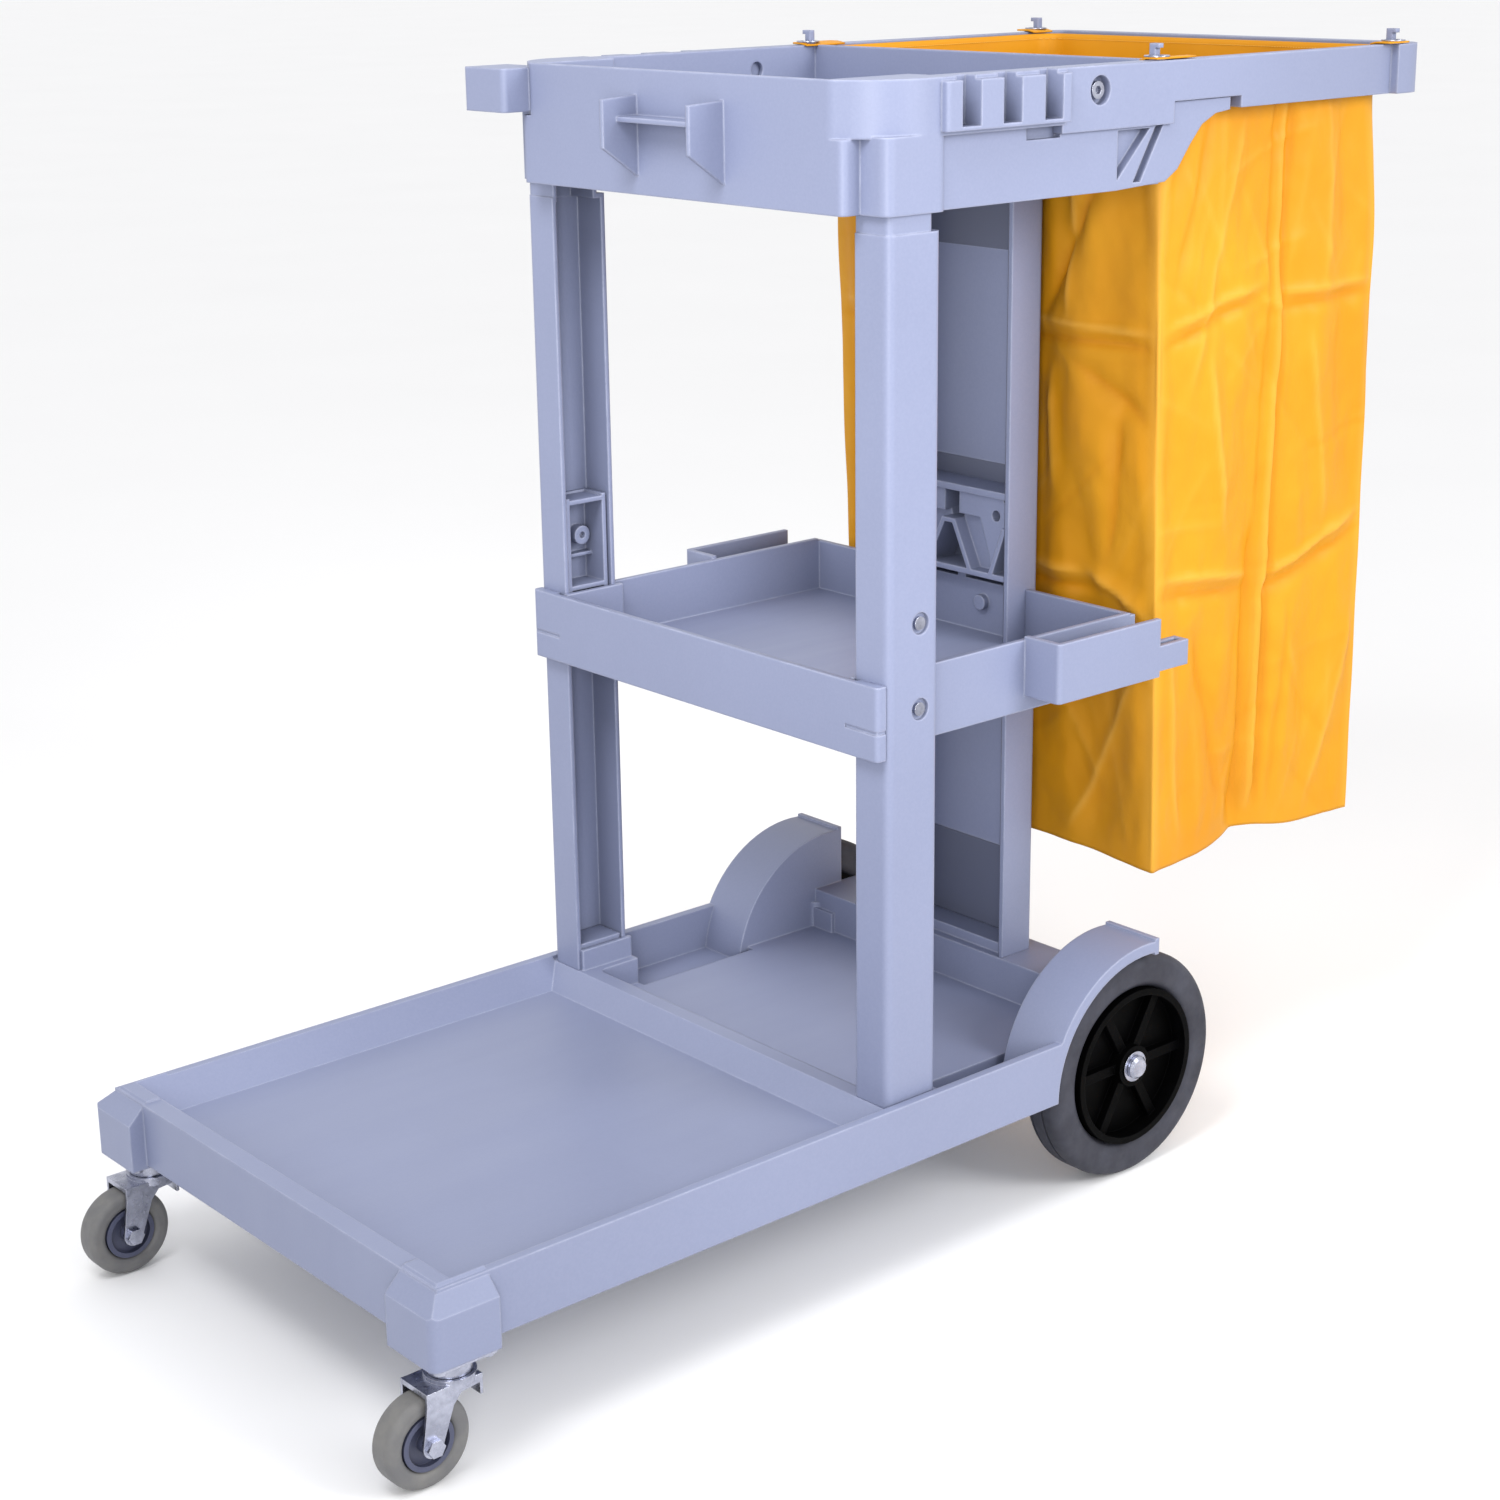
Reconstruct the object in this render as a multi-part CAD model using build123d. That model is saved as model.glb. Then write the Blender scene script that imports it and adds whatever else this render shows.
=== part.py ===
"""Housekeeping cart: moulded base, three posts, shelf, tray, bag frame and a hanging waste bag.

Millimetres, +Z up, the floor at Z = 0. X runs along the cart from the low front deck (-X)
to the bag (+X); the cart is symmetric about Y = 0 except for the broom hook at the front right.
Stations along the cart are written as distances behind the deck's nose.
"""
import os

from build123d import *

NOSE = -547.0            # X of the deck's nose

BASE_HALF = 237.0        # half width of the skirt
BASE_REAR = 810.0        # station of the base's rear wall
SKIRT_LOW = 104.0
RIM_Z = 159.0            # top of the deck's rim
FRONT_FLOOR = 135.0      # low deck where a bucket stands
REAR_FLOOR = 130.0       # deck between the posts
POST_FOOT = 155.0        # ledge that the front posts stand on
REAR_BEAM = 168.0        # raised beam that the rear post stands on
STEP_FOOT = 448.0
STEP_HEAD = 474.0
SIDE_FLOOR = 118.0       # low wells between the rear deck and the side walls
BEAM_X = 753.0
PAD = 60.0               # corner pads over the casters
PAD_OUT = 250.0
PAD_LOW = 101.0

WHEEL_X = 771.0          # rear axle station
WHEEL_R = 104.0
WHEEL_IN = 189.0
WHEEL_OUT = 227.0
ARCH_IN = 109.0
ARCH_OUT = 119.0
WELL_Y = 182.0
ARCH_END = 788.0
AXLE_R = 6.35
AXLE_END = 231.0
HUB_R = 72.5

POST_X0 = 467.0          # front posts: channels open towards the middle of the cart
POST_X1 = 523.0
POST_IN = 190.0
POST_OUT = 227.0
POST_T = 4.0
POST_TOP = 930.0
NECK_LOW = 864.0         # the post narrows here to enter the tray's socket
NECK_IN = 1.0
NECK_BACK = 8.0
REAR_POST_X0 = 755.0     # rear post: a wide channel open towards the front
REAR_POST_X1 = 794.0
REAR_POST_HALF = 77.0

SHELF_X0 = 457.0
SHELF_X1 = 783.0
SHELF_HALF = 202.0
SHELF_NOSE_HALF = 225.0
SHELF_LOW = 455.0
SHELF_FLOOR = 467.0
SHELF_TOP = 516.0
ARM_X0 = 647.0           # tool channels outboard of the shelf
ARM_X1 = 772.0
ARM_TIP = 808.0
ARM_LOW = 468.0
ARM_TOP = 519.0
ARM_OUT = 241.0

TRAY_X0 = 445.0
TRAY_X1 = 788.0
TRAY_NOSE_HALF = 200.0
TRAY_HALF = 209.0
TRAY_LOW = 878.0
TRAY_FLOOR = 883.0
TRAY_TOP = 977.0
BAND_LOW = 934.0
BAND_HALF = 229.0
BAND_X1 = 655.0

RAIL_OUT = 225.0         # bag frame
RAIL_T = 16.0
RAIL_LOW = 935.0
RAIL_WAIST = 217.0       # outer face of the side rails where they meet the rear corner blocks
CORNER_X = 1081.0
RAIL_X1 = 1127.0
BOLT_X = 698.0
BOLT_Z = 958.0

BAG_TOP = 975.0
BAG_LOW = 265.0
BAG_T = 3.0
PIN_FRONT = (780.0, 208.0)   # station and |y| of the pins that the bag hangs from
PIN_REAR = (1086.0, 212.0)
PIN_TOP = 990.0
TAB_Z = 977.4

CASTER_X = 32.0          # swivel axis
CASTER_Y = 222.0
CASTER_R = 37.0
CASTER_TRAIL = 28.0
CASTER_AXLE_R = 4.0

SHELF_SCREW_X = 502.0
SHELF_SCREW_Z = (561.0, 491.0)
REAR_SCREW_Y = 55.0
REAR_SCREW_Z = 580.0
HEAD_SINK = 3.0          # screw heads lie this deep in their recesses
BOLT_SINK = 8.0


def block(x0, x1, y0, y1, z0, z1):
    centre = ((x0 + x1) / 2 + NOSE, (y0 + y1) / 2, (z0 + z1) / 2)
    return Pos(*centre) * Box(abs(x1 - x0), abs(y1 - y0), abs(z1 - z0))


def rod_x(x0, x1, y, z, r):
    return Pos((x0 + x1) / 2 + NOSE, y, z) * Rot(0, 90, 0) * Cylinder(r, abs(x1 - x0))


def rod_y(x, y0, y1, z, r):
    return Pos(x + NOSE, (y0 + y1) / 2, z) * Rot(90, 0, 0) * Cylinder(r, abs(y1 - y0))


def rod_z(x, y, z0, z1, r):
    return Pos(x + NOSE, y, (z0 + z1) / 2) * Cylinder(r, abs(z1 - z0))


def plate_xz(points, y0, y1):
    """A plate whose outline is given as (station, height), from y0 to y1."""
    outline = Polyline(*[(x + NOSE, z) for x, z in points], close=True)
    face = Plane.XZ * make_face(outline)
    return Pos(0, max(y0, y1), 0) * extrude(face, abs(y1 - y0))


def plate_yz(points, x0, x1):
    """A plate whose outline is given as (y, height), from station x0 to x1."""
    outline = Polyline(*points, close=True)
    return Pos(min(x0, x1) + NOSE, 0, 0) * extrude(Plane.YZ * make_face(outline), abs(x1 - x0))


def both(shape):
    return shape + mirror(shape, Plane.XZ)


def pocket(x0, x1, half, z, grown, top):
    """A tapered pocket, growing by the given amount all round up to the top."""
    low = Pos((x0 + x1) / 2 + NOSE, 0, z) * Rectangle(x1 - x0, 2 * half)
    high = Pos((x0 + x1) / 2 + NOSE, 0, top) * Rectangle(x1 - x0 + 2 * grown, 2 * (half + grown))
    return loft([low, high])


def corner_pad():
    pad = block(0, PAD, PAD_OUT - PAD, PAD_OUT, PAD_LOW, RIM_Z + 2)
    top = pad.edges().group_by(Axis.Z)[-1]
    pad = chamfer([top.sort_by(Axis.X)[0], top.sort_by(Axis.Y)[-1]], 18)
    return fillet(pad.edges().filter_by(Axis.Z).group_by(Axis.Y)[-1].sort_by(Axis.X)[0], 8)


def rear_pocket():
    """Rear deck between the ridge and the rear beam, with a low well behind each front post."""
    deck = block(STEP_HEAD + 8, BEAM_X, -178, 178, REAR_FLOOR, RIM_Z + 5)
    deck = fillet(deck.edges().filter_by(Axis.Z), 8)
    return deck + both(block(POST_X1 + 5, 664, 170, 229, SIDE_FLOOR, RIM_Z + 5))


def base_hollow():
    low = SKIRT_LOW - 1
    hollow = block(20, STEP_FOOT - 4, -231, 231, low, FRONT_FLOOR - 5)
    hollow += block(STEP_HEAD + 2, BASE_REAR - 6, -231, 231, low, REAR_FLOOR - 5)
    hollow += block(BEAM_X + 5, BASE_REAR - 6, -173, 173, low, REAR_BEAM - 5)
    hollow -= both(block(POST_X1, BASE_REAR, 165, 240, SIDE_FLOOR - 5, REAR_FLOOR))
    for x in (150, 250, 350, 560, 650):
        hollow -= block(x, x + 4, -231, 231, low, POST_FOOT)
    for y in (-115, 0, 115):
        hollow -= block(20, BASE_REAR, y - 2, y + 2, low, REAR_BEAM)
    hollow -= both(block(0, PAD + 6, PAD_OUT - PAD - 6, PAD_OUT, low, POST_FOOT))
    return hollow - both(block(645, BASE_REAR, WELL_Y - 9, 240, low, POST_FOOT))


def wheel_arch():
    arch = rod_y(WHEEL_X, WELL_Y - 4, BASE_HALF, SKIRT_LOW, ARCH_OUT)
    arch -= rod_y(WHEEL_X, WELL_Y, BASE_HALF + 1, SKIRT_LOW, ARCH_IN)
    arch -= block(600, 1000, 0, 300, -50, SKIRT_LOW)
    arch -= block(ARCH_END, 1000, 0, 300, 0, 400)
    return arch + block(ARCH_END - 5, ARCH_END, WELL_Y - 4, BASE_HALF, 210, 225)


def axle_boss():
    boss = block(WHEEL_X - 22, WHEEL_X + 22, 150, WELL_Y, 88, POST_FOOT - 5)
    return boss + rod_y(WHEEL_X, WELL_Y, WHEEL_IN - 1, SKIRT_LOW, 14)


def base_platform():
    base = block(14, BASE_REAR, -BASE_HALF, BASE_HALF, SKIRT_LOW, RIM_Z)
    base += both(corner_pad())
    base += block(BEAM_X, BASE_REAR, -180, 180, SKIRT_LOW, REAR_BEAM)
    base -= pocket(54, STEP_FOOT, 207, FRONT_FLOOR, 24, FRONT_FLOOR + 26)
    base -= block(STEP_HEAD - 8, BEAM_X, -229, 229, POST_FOOT, REAR_BEAM + 5)
    base -= rear_pocket()
    base -= base_hollow()
    base -= both(rod_y(WHEEL_X, WELL_Y, 260, SKIRT_LOW, ARCH_IN))
    base -= both(block(WHEEL_X, 900, WELL_Y, 260, 90, 200))
    base += both(wheel_arch() + axle_boss())
    base += both(block(472, 518, POST_IN + 2, POST_OUT - 5, POST_FOOT - 1, POST_FOOT + 24))
    base += both(block(470, 527, POST_IN - 4, POST_IN, POST_FOOT - 1, POST_FOOT + 20))
    base += block(762, 789, -71, 71, REAR_BEAM - 1, REAR_BEAM + 10)
    base -= rod_y(WHEEL_X, -300, 300, SKIRT_LOW, AXLE_R)
    for x, y in caster_screw_spots():
        base -= both(rod_z(x, y, PAD_LOW - 1, 118, 2.5))
    return base


def screw_recess(x, z):
    return rod_y(x, POST_OUT - HEAD_SINK, POST_OUT + 2, z, 9) + rod_y(x, 190, POST_OUT, z, 3)


def post_outline(z0, z1):
    post = block(POST_X0, POST_X1, POST_IN, POST_OUT, z0, z1)
    return fillet(post.edges().filter_by(Axis.Z).group_by(Axis.Y)[-1], 7)


def post_neck(z0, z1):
    neck = block(POST_X0 + NECK_IN, POST_X1 - NECK_BACK, POST_IN, POST_OUT - NECK_IN, z0, z1)
    return fillet(neck.edges().filter_by(Axis.Z).group_by(Axis.Y)[-1], 5)


def front_post():
    t = POST_T
    post = post_outline(POST_FOOT, NECK_LOW)
    post -= block(POST_X0 + t, POST_X1 - t, POST_IN - 1, POST_OUT - t, POST_FOOT - 1, NECK_LOW - t)
    post += post_neck(NECK_LOW - 1, POST_TOP)
    x0, x1 = POST_X0 + NECK_IN + t, POST_X1 - NECK_BACK - t
    post -= block(x0, x1, POST_IN - 1, POST_OUT - NECK_IN - t, NECK_LOW - t - 1, POST_TOP + 1)
    for z in SHELF_SCREW_Z:
        post -= screw_recess(SHELF_SCREW_X, z)
    return post


def rear_post():
    half = REAR_POST_HALF
    post = block(REAR_POST_X0, REAR_POST_X1, -half, half, REAR_BEAM, TRAY_LOW)
    post = fillet(post.edges().filter_by(Axis.Z).group_by(Axis.X)[-1], 5)
    post -= block(REAR_POST_X0 - 1, REAR_POST_X1 - 4, -half + 5, half - 5, REAR_BEAM - 1, TRAY_LOW + 1)
    for z0, z1 in ((620, 810), (260, 440)):
        post -= block(REAR_POST_X1 - 5.5, REAR_POST_X1 - 3, -58, 58, z0, z1)
    for y in (-REAR_SCREW_Y, REAR_SCREW_Y):
        post -= rod_x(REAR_POST_X1 - 5, REAR_POST_X1 + 1, y, REAR_SCREW_Z, 3)
    return post


def front_upstand():
    """Ribbed block that rises from the shelf inside a front post."""
    x0, x1 = POST_X0 + POST_T, POST_X1 - POST_T
    y0, y1 = POST_IN + 3, POST_OUT - POST_T
    stand = block(x0 + 2, x0 + 6, y0, y1, SHELF_LOW, 600)
    stand += block(x1 - 6, x1 - 2, y0, y1, SHELF_LOW, 600)
    stand += block(x0 + 2, x1 - 2, y1 - 4, y1, SHELF_LOW, 600)
    for z in (516, 594):
        stand += block(x0 + 2, x1 - 2, y0, y1, z, z + 4)
    stand += block(x0 + 2, x1 - 2, y1 - 13, y1, 542, 545)
    stand += block(x0 + 2, x1 - 2, POST_IN - 2, y1, SHELF_LOW, SHELF_FLOOR)
    for z in SHELF_SCREW_Z:
        stand += rod_y(SHELF_SCREW_X, y1 - 14, y1, z, 8.5)
    return stand


def rear_upstand():
    """Braced block that rises from the shelf inside the rear post."""
    x0, x1, half = 757, REAR_POST_X1 - 4, REAR_POST_HALF - 5
    stand = block(x0, x1, -half, half, 597, 603) + block(x0, x1, -half, half, 523, 528)
    stand += block(x0 + 18, x1, -half, half, SHELF_LOW, SHELF_TOP - 2)
    stand += block(x0, x1, -6, 6, 567, 571)
    stand += block(x0 + 18, x1, -5, 5, SHELF_LOW, 528)
    plate = [(9, 576), (9, 598), (64, 598), (64, 594), (70, 591), (half, 586), (half, 568), (50, 530),
             (46, 546), (35, 576)]
    back = [(6, 568), (26, 527), (51, 527), (36, 577), (9, 577)]
    for side in (-1, 1):
        stand += plate_yz([(side * y, z) for y, z in plate], x0 + 5, x1)
        stand += plate_yz([(side * y, z) for y, z in back], x0 + 13, x1)
        for foot, head in ((25, 5), (50, half - 3)):
            rib = [(foot, 526), (foot + 5, 526), (head + 3, 571), (head - 2, 571)]
            stand += plate_yz([(side * y, z) for y, z in rib], x0, x1)
        stand += block(x0 + 18, x1, side * half, side * (half - 5), SHELF_LOW, 603)
    return stand


def tool_channel():
    """Outboard channel on the side of the shelf, with a low finger at its rear."""
    t = 5
    arm = block(ARM_X0, ARM_X0 + t, SHELF_HALF - 1, ARM_OUT, ARM_LOW, ARM_TOP)
    arm += block(ARM_X0, ARM_X1, SHELF_HALF - 1, ARM_OUT, ARM_LOW, ARM_LOW + t)
    arm += block(ARM_X0, ARM_X1, ARM_OUT - t, ARM_OUT, ARM_LOW, ARM_TOP)
    arm = fillet(arm.edges().filter_by(Axis.Z).group_by(Axis.Y)[-1].sort_by(Axis.X)[0], 4)
    arm += block(ARM_X1 - t, ARM_TIP, ARM_OUT - 16, ARM_OUT, ARM_LOW + 5, ARM_LOW + 27)
    return arm - block(ARM_X1, ARM_TIP - t, ARM_OUT - 11, ARM_OUT - t, ARM_LOW + 11, 500)


def shelf_nose():
    """Front wall of the shelf, running across in front of both posts."""
    half = SHELF_NOSE_HALF
    nose = block(SHELF_X0, POST_X0, -half, half, SHELF_LOW, SHELF_TOP)
    nose = fillet(nose.edges().filter_by(Axis.Z).group_by(Axis.X)[0], 4)
    nose -= both(block(SHELF_X0 - 1, SHELF_X0 + 1.2, 188, half + 1, 477, 480))
    return nose - both(block(SHELF_X0 - 1, POST_X0, half - 1.2, half + 1, 477, 480))


def middle_shelf():
    inner = SHELF_HALF - 5
    shelf = block(POST_X0 - 1, SHELF_X1, -SHELF_HALF, SHELF_HALF, SHELF_LOW, SHELF_TOP)
    shelf += shelf_nose()
    shelf -= block(SHELF_X0 + 5, SHELF_X1 - 5, -inner, inner, SHELF_FLOOR, 600)
    shelf -= block(SHELF_X0 + 5, SHELF_X1 - 5, -inner, inner, SHELF_LOW - 1, SHELF_FLOOR - 5)
    shelf -= block(SHELF_X1 - 6, SHELF_X1 + 1, -220, 220, SHELF_TOP - 2, 600)
    shelf += both(block(POST_X0 - 2, POST_X1 + 5, POST_IN - 5, POST_IN, SHELF_LOW, SHELF_TOP))
    shelf -= both(block(POST_X0, POST_X1, POST_IN, POST_OUT + 5, 400, 650))
    shelf += both(front_upstand() + tool_channel())
    shelf += rod_x(SHELF_X1 - 14, SHELF_X1 - 4, -28, 495, 7)
    shelf += rear_upstand()
    shelf -= rear_post() + both(front_post())
    for z in SHELF_SCREW_Z:
        shelf -= both(rod_y(SHELF_SCREW_X, 200, POST_OUT, z, 3))
    for y in (-REAR_SCREW_Y, REAR_SCREW_Y):
        shelf -= rod_x(775, 800, y, REAR_SCREW_Z, 3) + rod_x(755, 775, y, REAR_SCREW_Z, 5)
    return shelf


def tray_band():
    """Deep rim of the tray, its front corners cut at a slant."""
    half = BAND_HALF
    outline = [(TRAY_X0, -186), (TRAY_X0 + 26, -half), (BAND_X1, -half), (BAND_X1, half),
               (TRAY_X0 + 26, half), (TRAY_X0, 186)]
    points = [(x + NOSE, y) for x, y in outline]
    band = extrude(make_face(Polyline(*points, close=True)), TRAY_TOP - BAND_LOW)
    band = Pos(0, 0, BAND_LOW) * band
    band = fillet(band.edges().filter_by(Axis.Z).group_by(Axis.X)[0], 12)
    shoulder = band.edges().filter_by(Axis.Z).filter_by_position(Axis.X, NOSE + 470, NOSE + 472)
    return fillet(shoulder, 60)


def tray_shell():
    nose = block(TRAY_X0, 540, -TRAY_NOSE_HALF, TRAY_NOSE_HALF, TRAY_LOW, BAND_LOW)
    nose = fillet(nose.edges().filter_by(Axis.Z).group_by(Axis.X)[0], 6)
    shell = nose + tray_band() + block(500, TRAY_X1, -TRAY_HALF, TRAY_HALF, TRAY_LOW, TRAY_TOP)
    socket = both(block(463, 527, POST_IN - 4, BAND_HALF, TRAY_LOW, BAND_LOW + 2))
    shell -= block(TRAY_X0 + 5, TRAY_X1 - 5, -181, 181, TRAY_FLOOR, TRAY_TOP + 1)
    shell -= block(531, TRAY_X1 - 5, -204, 204, TRAY_FLOOR, TRAY_TOP + 1)
    outer = socket.edges().filter_by(Axis.Z).group_by(Axis.Y)
    return shell + fillet(outer[-1] + outer[0], 9)


def tray_side():
    """Side wall below the band, with the rear gusset that carries the bag frame."""
    side = block(528, 724, TRAY_HALF - 1, 221, TRAY_LOW, 927)
    side += block(528, BAND_X1, TRAY_HALF - 1, 221, 920, BAND_LOW + 1)
    outline = [(723, TRAY_LOW), (782, 881), (797, 890), (812, 909), (826, 924), (843, 932),
               (861, 934), (861, 944), (787, 944), (787, 927), (723, 927)]
    side += plate_xz(outline, TRAY_HALF - 1, 221)
    side -= plate_xz([(724, 886), (724, 925), (762, 925)], 213, 230)
    return side - plate_xz([(771, 930), (780, 930), (752, 883), (743, 883)], 214, 230)


def tool_rack():
    rack = block(519, BAND_X1, BAND_HALF - 1, 236, 937, 974)
    return fillet(rack.edges().filter_by(Axis.Z).group_by(Axis.Y)[-1], 3)


def rack_notches():
    notches = block(619, 657, 215, 222, 924, BAND_LOW - 0.5)
    for x in (534.5, 578.5, 624):
        notches += block(x, x + 20, 218, 240, 940, TRAY_TOP + 1)
    return notches


def bag_pin(spot):
    x, y = spot
    stem = block(x - 3, x + 3, y - 3, y + 3, TRAY_TOP, PIN_TOP)
    return stem + block(x - 3, x + 3, y - 3, y + 6.5, PIN_TOP - 3.5, PIN_TOP)


def front_bracket():
    """Two gussets and a cross plate on the front of the tray."""
    bracket = Part()
    for y in (42.5, -65):
        outline = [(TRAY_X0 + 1, 957), (410, 955), (410, 917), (TRAY_X0 + 1, 892)]
        bracket += plate_xz(outline, y, y + 4)
    return bracket + block(424, TRAY_X0 + 1, -64, 45, 937, 941)


def broom_hook():
    hook = block(420, 466, 190, 247, 937, 973)
    return fillet(hook.edges().filter_by(Axis.Z).group_by(Axis.X)[0], 5)


def top_tray():
    tray = tray_shell() + both(tray_side()) + both(tool_rack()) + front_bracket() + broom_hook()
    tray -= both(rack_notches())
    tray -= both(post_neck(TRAY_LOW - 1, POST_TOP))
    tray -= both(rod_y(BOLT_X, 206, 215, BOLT_Z, 4) + rod_y(BOLT_X + 14, 200, 215, BOLT_Z, 7))
    return tray + both(bag_pin(PIN_FRONT))


def rail_waist():
    """What the side rails lose as they taper to the rear corner blocks."""
    outline = [(796, RAIL_OUT), (CORNER_X, RAIL_WAIST), (CORNER_X, 240), (796, 240)]
    points = [(x + NOSE, y) for x, y in outline]
    return extrude(Pos(0, 0, 900) * make_face(Polyline(points, close=True)), 100)


def bag_frame():
    frame = block(BAND_X1, RAIL_X1, -RAIL_OUT, RAIL_OUT, 927, TRAY_TOP)
    frame = fillet(frame.edges().filter_by(Axis.Z).group_by(Axis.X)[-1], 30)
    inner = block(600, RAIL_X1 - RAIL_T, -RAIL_OUT + RAIL_T, RAIL_OUT - RAIL_T, 900, 1000)
    frame -= fillet(inner.edges().filter_by(Axis.Z).group_by(Axis.X)[-1], 14)
    frame -= both(rail_waist())
    frame -= block(787, 1200, -300, 300, 920, RAIL_LOW)
    frame -= block(787, 873, -300, 300, 920, 944.6)
    frame -= both(rod_y(BOLT_X, 200, 300, BOLT_Z, 4))
    frame -= both(rod_y(BOLT_X, RAIL_OUT - BOLT_SINK, 300, BOLT_Z, 11.5))
    return frame + both(bag_pin(PIN_REAR))


def bag_shell(inset, low, top):
    def section(x0, x1, half, z, r):
        width, depth = x1 - x0 - 2 * inset, 2 * (half - inset)
        return Pos((x0 + x1) / 2 + NOSE, 0, z) * RectangleRounded(width, depth, r)

    return loft([section(824, 1105, 195, low, 16), section(798, 1092, 201, top, 24)])


def bag_tab(x0, x1, spot):
    """Strap from the bag's top edge out over a pin."""
    x, y = spot
    tab = block(x0, x1, 198, y + 11, TAB_Z, TAB_Z + 2)
    return tab - rod_z(x, y + 2.5, 900, 1000, 7.5)


def waste_bag():
    bag = bag_shell(0, BAG_LOW, BAG_TOP) - bag_shell(BAG_T, BAG_LOW + BAG_T, BAG_TOP + 0.01)
    front = bag_tab(767, 834, PIN_FRONT) + block(824, 834, 198, 201, BAG_TOP - 6, TAB_Z + 2)
    rear = bag_tab(1052, 1099, PIN_REAR) + block(1052, 1062, 198, 201, BAG_TOP - 6, TAB_Z + 2)
    return bag + both(front + rear)


def bag_eyelets():
    rings = []
    for x, y in (PIN_FRONT, PIN_REAR):
        for side in (-1, 1):
            hole = rod_z(x, side * (y + 2.5), 900, 1000, 7.5)
            rings.append(rod_z(x, side * (y + 2.5), TAB_Z + 2, TAB_Z + 3.2, 10.5) - hole)
    return Compound(children=rings)


def tyre(x, y0, y1, z, r_in, r_out, round_r):
    middle = (y0 + y1) / 2
    profile = Pos((r_in + r_out) / 2, 0) * RectangleRounded(r_out - r_in, abs(y1 - y0), round_r)
    return Pos(x + NOSE, middle, z) * Rot(90, 0, 0) * revolve(Plane.XZ * profile, Axis.Z)


def rear_tyre():
    ring = tyre(WHEEL_X, WHEEL_IN, WHEEL_OUT, WHEEL_R, HUB_R, WHEEL_R, 9)
    for y in (197, 211):
        groove = rod_y(WHEEL_X, y - 1.5, y + 1.5, WHEEL_R, 110)
        ring -= groove - rod_y(WHEEL_X, y - 2, y + 2, WHEEL_R, WHEEL_R - 2)
    return ring


def rear_hub():
    hub = rod_y(WHEEL_X, WHEEL_IN + 2, WHEEL_OUT + 2, WHEEL_R, HUB_R)
    hub -= rod_y(WHEEL_X, WHEEL_OUT - 14, WHEEL_OUT + 3, WHEEL_R, HUB_R - 6)
    hub -= rod_y(WHEEL_X, WHEEL_IN, WHEEL_IN + 16, WHEEL_R, HUB_R - 6)
    hub += rod_y(WHEEL_X, WHEEL_IN, WHEEL_OUT, WHEEL_R, 19)
    for k in range(6):
        rib = Pos(43, 0, 0) * Box(51, 26, 9)
        hub += Pos(WHEEL_X + NOSE, (WHEEL_IN + WHEEL_OUT) / 2, WHEEL_R) * Rot(0, 60 * k, 0) * rib
    return hub - rod_y(WHEEL_X, 100, 300, WHEEL_R, AXLE_R + 0.08)


def axle_nut():
    nut = rod_y(WHEEL_X, WHEEL_OUT + 1.6, AXLE_END + 3, SKIRT_LOW, 10.5)
    nut = chamfer(nut.edges().filter_by(GeomType.CIRCLE).sort_by(Axis.Y)[-1], 2.5)
    return nut - rod_y(WHEEL_X, 200, AXLE_END, SKIRT_LOW, AXLE_R)


def axle_washer(y):
    return rod_y(WHEEL_X, y, y + 1, SKIRT_LOW, 14) - rod_y(WHEEL_X, 150, 250, SKIRT_LOW, AXLE_R)


def caster_screw_spots():
    return [(CASTER_X + dx, CASTER_Y + dy) for dx in (-21, 21) for dy in (-19, 19)]


def caster_plate():
    """Top plate with the fixed race of the swivel under it."""
    plate = block(CASTER_X - 28, CASTER_X + 28, CASTER_Y - 26, CASTER_Y + 26, 98, PAD_LOW)
    plate = fillet(plate.edges().filter_by(Axis.Z), 5)
    plate += rod_z(CASTER_X, CASTER_Y, 84, 98, 17)
    for x, y in caster_screw_spots():
        plate -= rod_z(x, y, 80, 110, 2.5)
    return plate - rod_z(CASTER_X, CASTER_Y, 80, 110, 5)


def caster_kingpin():
    return rod_z(CASTER_X, CASTER_Y, 74, 100.5, 5) + rod_z(CASTER_X, CASTER_Y, 72.5, 76.2, 9)


def caster_fork():
    axle_x = CASTER_X - CASTER_TRAIL
    fork = rod_z(CASTER_X, CASTER_Y, 76.5, 83.7, 20)
    for side in (-1, 1):
        y0, y1 = CASTER_Y + side * 14.5, CASTER_Y + side * 17
        outline = [(0, 80.5), (49, 80.5), (49, 74), (30, 72), (axle_x + 19, 64), (axle_x + 9, 37),
                   (axle_x - 9, 37), (axle_x - 5, 62), (0, 70)]
        leg = plate_xz(outline, y0, y1)
        leg += rod_y(axle_x, y0, y1, CASTER_R, 9)
        fork += leg - rod_y(axle_x, CASTER_Y - 20, CASTER_Y + 20, CASTER_R, CASTER_AXLE_R)
    fork += block(0, 49, CASTER_Y - 17, CASTER_Y + 17, 76.5, 80.5)
    fork += block(46.5, 49, CASTER_Y - 17, CASTER_Y + 17, 64, 80.5)
    return fork - rod_z(CASTER_X, CASTER_Y, 70, 100, 5.08)


def caster_tyre():
    x = CASTER_X - CASTER_TRAIL
    return tyre(x, CASTER_Y - 12, CASTER_Y + 12, CASTER_R, 22, CASTER_R, 6)


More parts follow.
